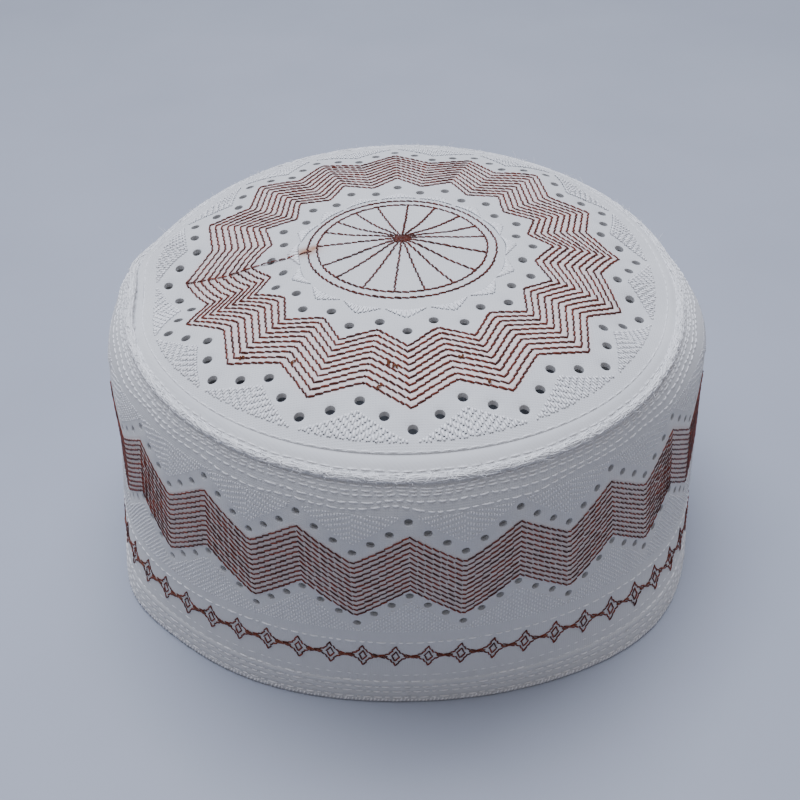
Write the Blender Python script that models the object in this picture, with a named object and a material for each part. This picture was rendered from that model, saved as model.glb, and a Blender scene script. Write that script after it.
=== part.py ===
"""Embroidered prayer cap: a domed round crown on a flared oval side band, standing on its hem.

Metres, +Z up. The origin is the middle of the oval on which the hem stands, and the cap's front faces -Y.
An azimuth is measured from +X towards +Y. Places on the crown are given by a share of the way from its
hub to the rim, and places on the side band by their height above the hem.
"""
import math

import bpy
import numpy as np
from mathutils import Vector
from mathutils.geometry import delaunay_2d_cdt

# Plan of the cap: mean radius, how much longer it is in X (cos 2a), how square (cos 4a), and how far it
# is shifted to the back (sin a)
HEM_PLAN = (0.0928, 0.0046, -0.0014, -0.0002)
SHOULDER_PLAN = (0.0872, 0.0004, 0.0023, -0.0013)
# The top of the side band rolls inwards to the seam by a depth that varies in the same way round the cap
ROLL_PLAN = (0.0051, 0.0021, 0.0020, -0.0007)
ROLL_POWER = 11
# Swells of the side band: azimuth and half width in degrees, height, half height, and how far the cloth
# stands out there (pressed in is negative)
WALL_SWELLS = (
    ("left_hollow", 192.5, 13.5, 0.0494, 0.0203, -0.0020),
    ("left_foot", 207.5, 11.0, 0.0014, 0.0170, 0.0031),
    ("right_foot", -38.0, 16.5, 0.0020, 0.0186, 0.0027),
    ("left_corner", 173.0, 7.0, 0.0910, 0.0130, 0.0025),
    ("right_shoulder", 1.0, 25.0, 0.0762, 0.0085, 0.0017),
    ("right_rim", -41.0, 23.0, 0.0908, 0.0108, 0.0013),
    ("back_left_flat", 149.5, 29.0, 0.0910, 0.0126, -0.0018),
)

# Heights
SEAM_Z = 0.0889
HUB_Z = 0.1019
HEM_HEIGHT = 0.0108

# Crown dome: rise above the seam at its edge, the small peak at the hub, and how late the edge falls
EDGE_RISE = 0.0005
HUB_PEAK = 0.0040
HUB_PEAK_SHARE = 0.157
DOME_POWER = 3.8
CROWN_TILT = (-0.0002, 0.0027)
CROWN_SADDLE = 0.0027

# Cloth
CLOTH = 0.0018
MARGIN_CLOTH = 0.0015
HEM_CLOTH = 0.0024
PANEL_PROUD = 0.0005
GAP = 0.0003

# The crown from hub to seam: the cut edge of the embroidered disc, and the outer edge of the plain margin
PANEL_EDGE = 0.936
MARGIN_INNER = 0.940
MARGIN_OUTER = 0.9700

# Folds and dents of the crown: azimuth in degrees, share of the rim radius, half length along the radius
# as a share, half width across it in degrees, rise in metres (a dent is negative)
CROWN_FOLDS = (
    ("left_pinch", 187.0, 0.73, 0.25, 16.0, -0.0072),
    ("left_rim_bump", 168.0, 0.90, 0.08, 8.0, 0.0015),
    ("right_dent", -22.0, 0.82, 0.14, 9.0, -0.0031),
    ("right_crease", 2.0, 0.80, 0.16, 7.0, -0.0021),
    ("back_right_swell", 47.0, 0.80, 0.16, 14.0, 0.0021),
    ("back_left_swell", 135.0, 0.80, 0.16, 14.0, 0.0014),
)
# The fold line left by folding the cap flat runs from left to right through the hub
FOLD_RIDGE_RISE = 0.0010
FOLD_RIDGE_HALF_WIDTH = 0.0055

# Eyelets of the crown: sixteen-fold, so a row for each eyelet of one sixteenth of a turn
STAR_POINTS = 16
STAR_TURN = 1.2
# Where the crown's cloth is drawn outwards on the left: azimuth and half width in degrees, share
STAR_PULLS = ((159.0, 10.0, 0.022), (212.0, 18.0, 0.020))
EYELET_RADIUS = 0.00130
EYELET_SIDES = 6
CROWN_EYELETS = (
    # (share of a sixteenth of a turn from a star point, share of the rim radius)
    (0.00, 0.862),
    (0.25, 0.819),
    (0.50, 0.772),
    (0.75, 0.819),
    (0.00, 0.475),
    (0.50, 0.434),
)

# Fineness
RIM_STEPS = 72
WALL_LEVELS = (0.0, 0.18, 0.36, 0.54, 0.70, 0.82, 0.89, 0.94, 0.975, 1.0)
CROWN_RINGS = ((0.11, 12), (0.22, 20), (0.33, 28), (0.56, 36), (0.65, 40), (0.725, 48))

# Colours, roughness
CLOTH_WHITE = (0.78, 0.79, 0.80)
SHADE_WHITE = (0.74, 0.75, 0.77)
THREAD_WHITE = (0.82, 0.82, 0.83)
CLOTH_ROUGHNESS = 0.85


def clear_scene():
    for thing in list(bpy.data.objects):
        bpy.data.objects.remove(thing, do_unlink=True)


def plan_radius(plan, azimuth):
    mean, oval, square, shift = plan
    round_part = mean + oval * math.cos(2 * azimuth) + square * math.cos(4 * azimuth)
    return round_part + shift * math.sin(azimuth)


def wall_radius(azimuth, height):
    """Outer radius of the side band at a height above the hem's edge."""
    share = height / SEAM_Z
    hem = plan_radius(HEM_PLAN, azimuth)
    shoulder = plan_radius(SHOULDER_PLAN, azimuth)
    radius = hem + (shoulder - hem) * share - plan_radius(ROLL_PLAN, azimuth) * share ** ROLL_POWER
    for _, middle, half_width, swell_height, half_height, stands_out in WALL_SWELLS:
        turn = turn_difference(azimuth, math.radians(middle)) / math.radians(half_width)
        rise = (height - swell_height) / half_height
        radius += stands_out * math.exp(-turn ** 2 - rise ** 2)
    return radius


def rim_radius(azimuth):
    return wall_radius(azimuth, SEAM_Z)


def ring_point(azimuth, radius, height):
    return Vector((radius * math.cos(azimuth), radius * math.sin(azimuth), height))


def turn_difference(a, b):
    return (a - b + math.pi) % (2 * math.pi) - math.pi


def crown_height(share, azimuth):
    """Height of the crown's upper side at a share of the way from the hub to the rim."""
    peak = (share / HUB_PEAK_SHARE) ** 2
    fall = HUB_Z - SEAM_Z - EDGE_RISE - HUB_PEAK / (1 + HUB_PEAK_SHARE ** 2)
    height = HUB_Z - HUB_PEAK * peak / (1 + peak) - fall * share ** DOME_POWER
    tilt = CROWN_TILT[0] * math.cos(azimuth) + CROWN_TILT[1] * math.sin(azimuth)
    height -= share * (1 - share ** 2) * tilt
    height -= CROWN_SADDLE * math.cos(2 * azimuth) * share ** 2 * (1 - share)
    across = share * rim_radius(azimuth) * math.sin(azimuth)
    ridge = math.exp(-(across / FOLD_RIDGE_HALF_WIDTH) ** 2)
    height += FOLD_RIDGE_RISE * ridge * min(1.0, share / HUB_PEAK_SHARE) * (1 - share ** 4)
    for _, fold_azimuth, fold_share, half_length, half_width, rise in CROWN_FOLDS:
        along = (share - fold_share) / half_length
        turn = turn_difference(azimuth, math.radians(fold_azimuth)) / math.radians(half_width)
        height += rise * math.exp(-along ** 2 - turn ** 2)
    return height


def crown_point(share, azimuth, lift=0.0):
    return ring_point(azimuth, share * rim_radius(azimuth), crown_height(share, azimuth) + lift)


def make_material(name, colour):
    material = bpy.data.materials.new(name)
    material.use_nodes = True
    shader = material.node_tree.nodes["Principled BSDF"]
    shader.inputs["Base Color"].default_value = (*colour, 1.0)
    shader.inputs["Roughness"].default_value = CLOTH_ROUGHNESS
    shader.inputs["Metallic"].default_value = 0.0
    return material


def make_object(name, points, faces, colour):
    mesh = bpy.data.meshes.new(name)
    mesh.from_pydata([tuple(point) for point in points], [], faces)
    mesh.validate()
    mesh.shade_smooth()
    mesh.set_sharp_from_angle(angle=math.radians(40))
    mesh.materials.append(make_material(name + "_cloth", colour))
    thing = bpy.data.objects.new(name, mesh)
    bpy.context.scene.collection.objects.link(thing)
    return thing


def rim_azimuths():
    return [2 * math.pi * step / RIM_STEPS for step in range(RIM_STEPS)]


def swept_ring(name, section, colour):
    """A closed ring: section(azimuth) gives its outline, anticlockwise with the radius to the right."""
    points = []
    for azimuth in rim_azimuths():
        points.extend(section(azimuth))
    count = len(points) // RIM_STEPS
    faces = []
    for step in range(RIM_STEPS):
        here = step * count
        there = ((step + 1) % RIM_STEPS) * count
        for index in range(count):
            after = (index + 1) % count
            faces.append((here + index, there + index, there + after, here + after))
    return make_object(name, points, faces, colour)


def hem_section(azimuth):
    """The hem: a quilted double edge with a corded foot and a flat underside."""
    outline = (
        (-0.0020, 0.0),
        (-0.0006, 0.0),
        (0.0003, 0.0009),
        (0.0003, 0.0022),
        (-0.0001, 0.0032),
        (0.0, HEM_HEIGHT),
        (-HEM_CLOTH, HEM_HEIGHT),
        (-HEM_CLOTH, 0.0006),
    )
    return [ring_point(azimuth, wall_radius(azimuth, z) + out, z) for out, z in outline]


def wall_section(azimuth):
    """The side band: outer face from the bottom up, then the inner face back down."""
    bottom = HEM_HEIGHT + GAP
    top = SEAM_Z - 0.0016
    heights = [bottom + (top - bottom) * level for level in WALL_LEVELS]
    outer = [ring_point(azimuth, wall_radius(azimuth, z), z) for z in heights]
    inner = [ring_point(azimuth, wall_radius(azimuth, z) - CLOTH, z) for z in reversed(heights)]
    return outer + inner


def seam_section(azimuth):
    """The seam ridge that joins crown and side band."""
    outline = (
        (0.0006, -0.0013),
        (0.0011, 0.0002),
        (0.0004, 0.0017),
        (-0.0009, 0.0021),
        (-0.0022, 0.0015),
        (-0.0022, 0.0001),
        (-0.0012, -0.0013),
    )
    radius = rim_radius(azimuth)
    return [ring_point(azimuth, radius + out, SEAM_Z + up) for out, up in outline]


def margin_section(azimuth):
    """The plain band of the crown between the embroidered disc and the seam."""
    upper_shares = (MARGIN_OUTER, (MARGIN_OUTER + MARGIN_INNER) / 2, MARGIN_INNER)
    upper = [crown_point(share, azimuth) for share in upper_shares]
    lower = [crown_point(share, azimuth, -MARGIN_CLOTH) for share in reversed(upper_shares)]
    return upper + lower


def eyelet_centres():
    """Plan places of the crown's eyelets, as share and azimuth."""
    places = []
    for point in range(STAR_POINTS):
        for part, share in CROWN_EYELETS:
            turn = -90.0 + STAR_TURN + (point + part) * 360.0 / STAR_POINTS
            places.append((share, math.radians(turn)))
    return places


def star_stretch(azimuth):
    stretch = 1.0
    for middle, half_width, pull in STAR_PULLS:
        turn = turn_difference(azimuth, math.radians(middle)) / math.radians(half_width)
        stretch += pull * math.exp(-turn ** 2)
    return stretch


def plan_place(share, azimuth):
    radius = share * rim_radius(azimuth)
    return radius * math.cos(azimuth), radius * math.sin(azimuth)


def crown_flat_mesh():
    """Triangles of the crown panel in plan, with a gap for each eyelet: points and corner triples."""
    points = [plan_place(PANEL_EDGE, azimuth) for azimuth in rim_azimuths()]
    edges = [(step, (step + 1) % RIM_STEPS) for step in range(RIM_STEPS)]
    holes = [plan_place(share * star_stretch(azimuth), azimuth) for share, azimuth in eyelet_centres()]
    for x, y in holes:
        first = len(points)
        for side in range(EYELET_SIDES):
            turn = 2 * math.pi * (side + 0.5) / EYELET_SIDES
            points.append((x + EYELET_RADIUS * math.cos(turn), y + EYELET_RADIUS * math.sin(turn)))
            edges.append((first + side, first + (side + 1) % EYELET_SIDES))
    centres = np.array(holes)
    points.append((0.0, 0.0))
    for share, count in CROWN_RINGS:
        for step in range(count):
            x, y = plan_place(share, 2 * math.pi * step / count)
            if np.hypot(centres[:, 0] - x, centres[:, 1] - y).min() > 2 * EYELET_RADIUS:
                points.append((x, y))
    flat = [Vector(point) for point in points]
    places, _, faces, _, _, _ = delaunay_2d_cdt(flat, edges, [], 0, 1e-7)
    kept = []
    for face in faces:
        middle = sum((places[corner] for corner in face), Vector((0.0, 0.0))) / len(face)
        distance = np.hypot(centres[:, 0] - middle.x, centres[:, 1] - middle.y).min()
        if distance > 0.8 * EYELET_RADIUS:
            kept.append(tuple(face))
    return places, kept


def make_crown_panel():
    """Two skins over the same triangles, joined round the edge and round each eyelet."""
    places, triangles = crown_flat_mesh()
    count = len(places)
    upper, lower = [], []
    for place in places:
        azimuth = math.atan2(place.y, place.x)
        share = place.length / rim_radius(azimuth)
        upper.append(crown_point(share, azimuth, PANEL_PROUD))
        lower.append(crown_point(share, azimuth, PANEL_PROUD - CLOTH))
    faces = []
    open_edges = set()
    for triangle in triangles:
        faces.append(triangle)
        faces.append(tuple(count + corner for corner in reversed(triangle)))
        for here, there in zip(triangle, triangle[1:] + triangle[:1]):
            if (there, here) in open_edges:
                open_edges.remove((there, here))
            else:
                open_edges.add((here, there))
    for here, there in sorted(open_edges):
        faces.append((there, here, count + here, count + there))
    return make_object("crown_panel", upper + lower, faces, CLOTH_WHITE)


clear_scene()
make_crown_panel()
swept_ring("crown_margin", margin_section, SHADE_WHITE)
swept_ring("rim_seam", seam_section, THREAD_WHITE)
swept_ring("side_band", wall_section, CLOTH_WHITE)
swept_ring("hem_band", hem_section, THREAD_WHITE)
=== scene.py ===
"""Looks for the embroidered prayer cap: cloth with its eyelets, machine embroidery, seam and hem.

Metres, +Z up. The cap stands on its hem at z = 0 and its front faces -Y. An azimuth is measured from +X
towards +Y. A place on the crown is its plan position; a place on the side band is the distance along the
band from the front and the height above the hem.
"""
import math

import bpy
import numpy as np
from mathutils import Matrix, Vector
from mathutils.geometry import delaunay_2d_cdt


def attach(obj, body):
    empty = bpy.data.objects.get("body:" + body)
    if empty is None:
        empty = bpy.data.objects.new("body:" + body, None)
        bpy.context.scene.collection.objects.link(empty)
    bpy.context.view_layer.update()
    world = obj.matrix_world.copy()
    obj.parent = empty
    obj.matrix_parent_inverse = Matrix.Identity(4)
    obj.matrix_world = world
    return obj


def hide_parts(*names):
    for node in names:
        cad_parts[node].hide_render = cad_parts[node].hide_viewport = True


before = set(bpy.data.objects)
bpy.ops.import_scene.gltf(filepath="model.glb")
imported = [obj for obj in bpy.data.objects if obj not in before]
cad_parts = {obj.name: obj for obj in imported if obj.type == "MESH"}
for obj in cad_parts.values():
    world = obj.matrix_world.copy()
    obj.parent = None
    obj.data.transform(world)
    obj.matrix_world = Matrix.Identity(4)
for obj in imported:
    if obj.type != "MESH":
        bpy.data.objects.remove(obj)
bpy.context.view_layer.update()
scene = bpy.context.scene
dice = np.random.default_rng(7)

# Camera: a phone held about a third of a metre away and 41 degrees above the table, turned a degree.
# The picture is 800 pixels wide.
PICTURE_WIDTH = 800
FOCAL_PIXELS = 1016.7
SENSOR_MM = 36.0
VIEW_DISTANCE = 0.3352
VIEW_ELEVATION = math.radians(40.71)
VIEW_ROLL = math.radians(-1.148)
VIEW_TARGET = Vector((-0.00145, 0.0, 0.04084))

forward = Vector((0.0, math.cos(VIEW_ELEVATION), -math.sin(VIEW_ELEVATION)))
level_right = Vector((1.0, 0.0, 0.0))
level_up = level_right.cross(forward)
right = math.cos(VIEW_ROLL) * level_right + math.sin(VIEW_ROLL) * level_up
up = right.cross(forward)
camera = bpy.data.objects.new("camera", bpy.data.cameras.new("camera"))
camera.data.sensor_width = SENSOR_MM
camera.data.lens = FOCAL_PIXELS * SENSOR_MM / PICTURE_WIDTH
camera.data.clip_start = 0.01
camera.matrix_world = (
    Matrix.Translation(VIEW_TARGET - VIEW_DISTANCE * forward)
    @ Matrix((right, up, -forward)).transposed().to_4x4()
)
scene.collection.objects.link(camera)
scene.camera = camera


# Floor and light: a pale matt board, painted a cool grey, under soft light from above and behind.
# The front of the side band is the darkest part of the cap, its sides are a little lighter.
def hex_colour(code):
    """An sRGB hex colour as linear RGBA."""
    channels = [int(code[place:place + 2], 16) / 255 for place in (1, 3, 5)]
    linear = [c / 12.92 if c <= 0.04045 else ((c + 0.055) / 1.055) ** 2.4 for c in channels]
    return (*linear, 1.0)


def add_node(tree, kind, settings=None, inputs=None):
    """Adds a node. An input is a value or the socket that feeds it."""
    node = tree.nodes.new(kind)
    for name, value in (settings or {}).items():
        setattr(node, name, value)
    for name, value in (inputs or {}).items():
        if isinstance(value, bpy.types.NodeSocket):
            tree.links.new(value, node.inputs[name])
        else:
            node.inputs[name].default_value = value
    return node


def add_mix(tree, factor, first, second):
    """A colour between two others, each a hex colour or a socket."""
    inputs = {"Factor": factor, "A": first, "B": second}
    for name in ("A", "B"):
        if isinstance(inputs[name], str):
            inputs[name] = hex_colour(inputs[name])
    return add_node(tree, "ShaderNodeMix", {"data_type": "RGBA"}, inputs).outputs["Result"]


def add_maths(tree, operation, *inputs):
    return add_node(tree, "ShaderNodeMath", {"operation": operation}, dict(enumerate(inputs))).outputs[0]


def add_stored(tree, name):
    """The number that a piece stores for each of its points under this name."""
    return add_node(tree, "ShaderNodeAttribute", {"attribute_name": name}).outputs["Fac"]


def start_material(name, roughness, **constants):
    """A material with its Principled shader, whose plain values are set on the shader itself."""
    material = bpy.data.materials.new(name)
    material.use_nodes = True
    shader = material.node_tree.nodes["Principled BSDF"]
    shader.inputs["Roughness"].default_value = roughness
    for socket, value in constants.items():
        shader.inputs[socket.replace("_", " ")].default_value = value
    return material, material.node_tree, shader


FLOOR_SIDE = 6.0
FLOOR_COLOUR = "#ABB1BF"
FLOOR_SHADE = "#9EA4B3"
FLOOR_MOTTLE_SIZE = 0.09

floor_paint, tree, shader = start_material("matt_painted_board", 0.55)
place = add_node(tree, "ShaderNodeTexCoord").outputs["Object"]
mottle = add_node(tree, "ShaderNodeTexNoise", inputs={
    "Vector": place, "Scale": 1 / FLOOR_MOTTLE_SIZE, "Detail": 3.0})
tree.links.new(add_mix(tree, mottle.outputs["Fac"], FLOOR_COLOUR, FLOOR_SHADE), shader.inputs["Base Color"])
bpy.ops.mesh.primitive_plane_add(size=FLOOR_SIDE, location=(0, 0, 0))
floor = bpy.context.object
floor.name = "floor"
floor.data.materials.append(floor_paint)

SOFT_LIGHTS = (
    # name, place, width, height, watts, colour
    ("overhead_back", (-0.05, 0.44, 1.10), 1.0, 0.6, 7.4, "#EBF1FF"),
    ("overhead", (-0.12, 0.10, 1.15), 0.9, 0.6, 13.0, "#EBF1FF"),
    ("left_side", (-1.00, 0.10, 0.45), 0.7, 0.6, 0.5, "#F9FAFF"),
    ("right_side", (1.00, 0.05, 0.50), 0.7, 0.6, 0.9, "#FAF8FF"),
    ("front_fill", (0.0, -1.30, 0.90), 1.2, 0.5, 0.3, "#FFF4F0"),
)
LIGHT_AIM = Vector((0.0, 0.0, 0.06))
for name, spot, width, height, watts, colour in SOFT_LIGHTS:
    lamp = bpy.data.lights.new(name, "AREA")
    lamp.shape = "RECTANGLE"
    lamp.size = width
    lamp.size_y = height
    lamp.energy = watts
    lamp.color = hex_colour(colour)[:3]
    holder = bpy.data.objects.new(name, lamp)
    holder.location = spot
    holder.rotation_euler = (LIGHT_AIM - Vector(spot)).to_track_quat("-Z", "Y").to_euler()
    scene.collection.objects.link(holder)

# Daylight that the thin cloth lets through, which keeps the eyelets grey instead of black
GLOW_WATTS = 0.010
GLOW_HEIGHT = 0.055
GLOW_RADIUS = 0.025
glow = bpy.data.lights.new("light_through_cloth", "POINT")
glow.energy = GLOW_WATTS
glow.shadow_soft_size = GLOW_RADIUS
holder = bpy.data.objects.new("light_through_cloth", glow)
holder.location = (0, 0, GLOW_HEIGHT)
holder.visible_camera = False
scene.collection.objects.link(holder)

ROOM_COLOUR = "#DAD5D5"
ROOM_STRENGTH = 0.34
room = bpy.data.worlds.new("room")
room.use_nodes = True
room.node_tree.nodes["Background"].inputs["Color"].default_value = hex_colour(ROOM_COLOUR)
room.node_tree.nodes["Background"].inputs["Strength"].default_value = ROOM_STRENGTH
scene.world = room


# Crown disc: bleached polyester-cotton, starched, with machine embroidery and punched eyelets.
# One layer of cloth over stiff backing, cut round and laid over the plain crown margin.
# Outlines in plan: mean radius, oval, square and sideways wave
HEM_PLAN = (0.0928, 0.0046, -0.0014, -0.0002)
SHOULDER_PLAN = (0.0872, 0.0004, 0.0023, -0.0013)
ROLL_PLAN = (0.0051, 0.0021, 0.0020, -0.0007)
ROLL_POWER = 11
WALL_SWELLS = (
    # name, azimuth and half width in degrees, height, half height, how far the cloth stands out there
    ("left_hollow", 192.5, 13.5, 0.0494, 0.0203, -0.0020),
    ("left_foot", 207.5, 11.0, 0.0014, 0.0170, 0.0031),
    ("right_foot", -38.0, 16.5, 0.0020, 0.0186, 0.0027),
    ("left_corner", 173.0, 7.0, 0.0910, 0.0130, 0.0025),
    ("right_shoulder", 1.0, 25.0, 0.0762, 0.0085, 0.0017),
    ("right_rim", -41.0, 23.0, 0.0908, 0.0108, 0.0013),
    ("back_left_flat", 149.5, 29.0, 0.0910, 0.0126, -0.0018),
)
SEAM_Z = 0.0889
RIM_MEAN_RADIUS = 0.083
HUB_Z = 0.1019
EDGE_RISE = 0.0005
HUB_PEAK = 0.0040
HUB_PEAK_SHARE = 0.157
DOME_POWER = 3.8
CROWN_TILT = (-0.0002, 0.0027)
CROWN_SADDLE = 0.0027
CROWN_CLOTH = 0.0018
PANEL_PROUD = 0.0005
CROWN_FOLDS = (
    # name, azimuth, share of the radius, half length as a share, half width in degrees, rise
    ("left_pinch", 187.0, 0.73, 0.25, 16.0, -0.0072),
    ("left_rim_bump", 168.0, 0.90, 0.08, 8.0, 0.0015),
    ("right_dent", -22.0, 0.82, 0.14, 9.0, -0.0031),
    ("right_crease", 2.0, 0.80, 0.16, 7.0, -0.0021),
    ("back_right_swell", 47.0, 0.80, 0.16, 14.0, 0.0021),
    ("back_left_swell", 135.0, 0.80, 0.16, 14.0, 0.0014),
)
FOLD_RIDGE_RISE = 0.0010
FOLD_RIDGE_HALF_WIDTH = 0.0055
STAR_POINTS = 16
STAR_TURN = 1.2
CROWN_EYELET_RADIUS = 0.00140
CROWN_EYELETS = (
    # share of a sixteenth of a turn from a star point, share of the radius
    (0.00, 0.862),
    (0.25, 0.819),
    (0.50, 0.772),
    (0.75, 0.819),
    (0.00, 0.475),
    (0.50, 0.434),
)
CROWN_MESH_STEP = 0.0012
EYELET_CORNERS = 12
EYELET_LIP_DIP = 0.00035
EYELET_LIP_WIDTH = 0.0006
PANEL_EDGE = 0.936
PANEL_EDGE_SIDES = 0.953
PANEL_EDGE_TURN = 28.0
PANEL_EDGE_CORNERS = 300
# Where the crown's cloth is drawn outwards on the left: azimuth and half width in degrees, share
STAR_PULLS = ((159.0, 10.0, 0.022), (212.0, 18.0, 0.020))
STAR_LINES = 10
# Share of the radius of the innermost brown line, and from one line to the next, at a point and a valley
STAR_TIP = (0.5515, 0.0272)
STAR_VALLEY = (0.4780, 0.0257)


def plan_radius(plan, azimuth):
    """Radius of a plan outline: a circle with an oval, a square and a sideways wave."""
    mean, oval, square, shift = plan
    round_part = mean + oval * np.cos(2 * azimuth) + square * np.cos(4 * azimuth)
    return round_part + shift * np.sin(azimuth)


def wrap_turn(turn):
    """The same turn between half a turn back and half a turn on."""
    return (turn + math.pi) % (2 * math.pi) - math.pi


def turn_difference(azimuth, degrees):
    return wrap_turn(azimuth - math.radians(degrees))


def ring_points(radius, azimuth, height):
    return np.column_stack([radius * np.cos(azimuth), radius * np.sin(azimuth),
                            np.broadcast_to(height, np.shape(azimuth))])


def wall_radius(azimuth, height):
    """Outer radius of the side band at a height above the hem's edge."""
    share = height / SEAM_Z
    hem = plan_radius(HEM_PLAN, azimuth)
    shoulder = plan_radius(SHOULDER_PLAN, azimuth)
    radius = hem + (shoulder - hem) * share - plan_radius(ROLL_PLAN, azimuth) * share ** ROLL_POWER
    for _, middle, half_width, swell_height, half_height, stands_out in WALL_SWELLS:
        turn = turn_difference(azimuth, middle) / math.radians(half_width)
        rise = (height - swell_height) / half_height
        radius = radius + stands_out * np.exp(-turn ** 2 - rise ** 2)
    return radius


def rim_radius(azimuth):
    return wall_radius(azimuth, SEAM_Z)


def crown_height(share, azimuth):
    """Height of the crown at a share of the way from the hub to the rim."""
    peak = (share / HUB_PEAK_SHARE) ** 2
    fall = HUB_Z - SEAM_Z - EDGE_RISE - HUB_PEAK / (1 + HUB_PEAK_SHARE ** 2)
    height = HUB_Z - HUB_PEAK * peak / (1 + peak) - fall * share ** DOME_POWER
    tilt = CROWN_TILT[0] * np.cos(azimuth) + CROWN_TILT[1] * np.sin(azimuth)
    height = height - share * (1 - share ** 2) * tilt
    height = height - CROWN_SADDLE * np.cos(2 * azimuth) * share ** 2 * (1 - share)
    across = share * rim_radius(azimuth) * np.sin(azimuth)
    ridge = np.exp(-(across / FOLD_RIDGE_HALF_WIDTH) ** 2)
    height = height + FOLD_RIDGE_RISE * ridge * np.minimum(1.0, share / HUB_PEAK_SHARE) * (1 - share ** 4)
    for _, fold_azimuth, fold_share, half_length, half_width, rise in CROWN_FOLDS:
        along = (share - fold_share) / half_length
        turn = turn_difference(azimuth, fold_azimuth)
        height = height + rise * np.exp(-along ** 2 - (turn / math.radians(half_width)) ** 2)
    return height


def crown_polar(plan):
    """Share of the radius and azimuth of plan places on the crown."""
    plan = np.asarray(plan, float)
    azimuth = np.arctan2(plan[:, 1], plan[:, 0])
    return np.hypot(plan[:, 0], plan[:, 1]) / rim_radius(azimuth), azimuth


def crown_plan(share, azimuth):
    radius = share * rim_radius(azimuth)
    return np.stack([radius * np.cos(azimuth), radius * np.sin(azimuth)], -1)


def crown_place(share, degrees):
    """Plan place of one point of the crown."""
    return crown_plan(np.array([share]), np.radians([degrees]))[0]


def star_stretch(azimuth):
    stretch = 1.0
    for middle, half_width, pull in STAR_PULLS:
        stretch = stretch + pull * np.exp(-(turn_difference(azimuth, middle) / math.radians(half_width)) ** 2)
    return stretch


def pattern_plan(share, azimuth):
    """Plan place of the crown's pattern, drawn outwards on the left."""
    return crown_plan(share * star_stretch(azimuth), azimuth)


def crown_surface(plan):
    share, azimuth = crown_polar(plan)
    height = crown_height(share, azimuth) + PANEL_PROUD
    return np.column_stack([plan, height])


def surface_normals(surface, places, step=0.0002):
    """Outward unit normals of a surface at its flat places."""
    across = surface(places + (step, 0)) - surface(places - (step, 0))
    upward = surface(places + (0, step)) - surface(places - (0, step))
    normal = np.cross(across, upward)
    return normal / np.linalg.norm(normal, axis=1, keepdims=True)


def nearest_hole(places, holes):
    """Distance from each place to the middle of the nearest hole."""
    nearest = np.full(len(places), 1.0)
    for hole in holes:
        nearest = np.minimum(nearest, np.hypot(*(places - hole).T))
    return nearest


def cloth_triangles(outline, step, holes, hole_radius):
    """Triangles of flat cloth inside a convex outline, with a ring of corners round each hole.

    Gives the places, the triangles, and for each triangle whether it lies in a hole.
    """
    low, high = outline.min(0), outline.max(0)
    rows = np.arange(low[1], high[1], step * math.sqrt(3) / 2)
    grid = []
    for number, y in enumerate(rows):
        x = np.arange(low[0] + (number % 2) * step / 2, high[0], step)
        grid.append(np.column_stack([x, np.full(len(x), y)]))
    grid = np.concatenate(grid)
    edge = np.roll(outline, -1, 0) - outline
    inward = np.column_stack([-edge[:, 1], edge[:, 0]])
    inward /= np.linalg.norm(inward, axis=1, keepdims=True)
    depth = np.full(len(grid), 1.0)
    for corner, normal in zip(outline, inward):
        depth = np.minimum(depth, (grid - corner) @ normal)
    grid = grid[depth > 0.6 * step]
    grid = grid[nearest_hole(grid, holes) > hole_radius + 0.9 * step]
    places = [tuple(point) for point in outline]
    edges = [(n, (n + 1) % len(outline)) for n in range(len(outline))]
    for hole in holes:
        first = len(places)
        for ring, factor in enumerate((1.0, 1.4)):
            for corner in range(EYELET_CORNERS):
                turn = 2 * math.pi * (corner + ring / 2) / EYELET_CORNERS
                radius = hole_radius * factor
                places.append((hole[0] + radius * math.cos(turn), hole[1] + radius * math.sin(turn)))
        edges += [(first + n, first + (n + 1) % EYELET_CORNERS) for n in range(EYELET_CORNERS)]
    places += [tuple(point) for point in grid]
    flat, _, faces, _, _, _ = delaunay_2d_cdt([Vector(place) for place in places], edges, [], 0, 1e-9)
    flat = np.array([tuple(point) for point in flat])
    faces = np.array([tuple(face) for face in faces])
    inside_radius = 0.96 * hole_radius * math.cos(math.pi / EYELET_CORNERS)
    return flat, faces, nearest_hole(flat[faces].mean(1), holes) < inside_radius


def open_edges(faces):
    """Edges that only one face uses, in that face's direction."""
    single = set()
    for a, b, c in faces.tolist():
        for here, there in ((a, b), (b, c), (c, a)):
            if (there, here) in single:
                single.remove((there, here))
            else:
                single.add((here, there))
    return sorted(single)


def mesh_piece(name, points, faces, material, smooth_angle=None):
    mesh = bpy.data.meshes.new(name)
    mesh.from_pydata(np.asarray(points).tolist(), [], faces)
    mesh.shade_smooth()
    if smooth_angle:
        mesh.set_sharp_from_angle(angle=math.radians(smooth_angle))
    mesh.materials.append(material)
    piece = bpy.data.objects.new(name, mesh)
    scene.collection.objects.link(piece)
    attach(piece, "root")
    return piece


def add_measure(piece, name, values):
    """Stores one number for each point of a piece, which its material reads."""
    store = piece.data.attributes.new(name, "FLOAT", "POINT")
    store.data.foreach_set("value", np.asarray(values, np.float32))


def add_flat_places(piece, places, scale=10.0):
    """Stores the flat cloth's places as a UV map, ten to the metre."""
    layer = piece.data.uv_layers.new(name="flat_cloth")
    corners = np.empty(len(piece.data.loops), np.int32)
    piece.data.loops.foreach_get("vertex_index", corners)
    layer.data.foreach_set("uv", (np.asarray(places)[corners] * scale).astype(np.float32).ravel())


def eyelet_lip(hole_distance, hole_radius):
    """How much of its full dip the cloth has at a distance from an eyelet's middle."""
    return np.exp(-np.clip(hole_distance - hole_radius, 0, None) / EYELET_LIP_WIDTH)


def turn_for(point):
    """Azimuth of a star point, or of a place between two of them."""
    return np.radians(-90.0 + STAR_TURN + np.asarray(point) * 360.0 / STAR_POINTS)


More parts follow.
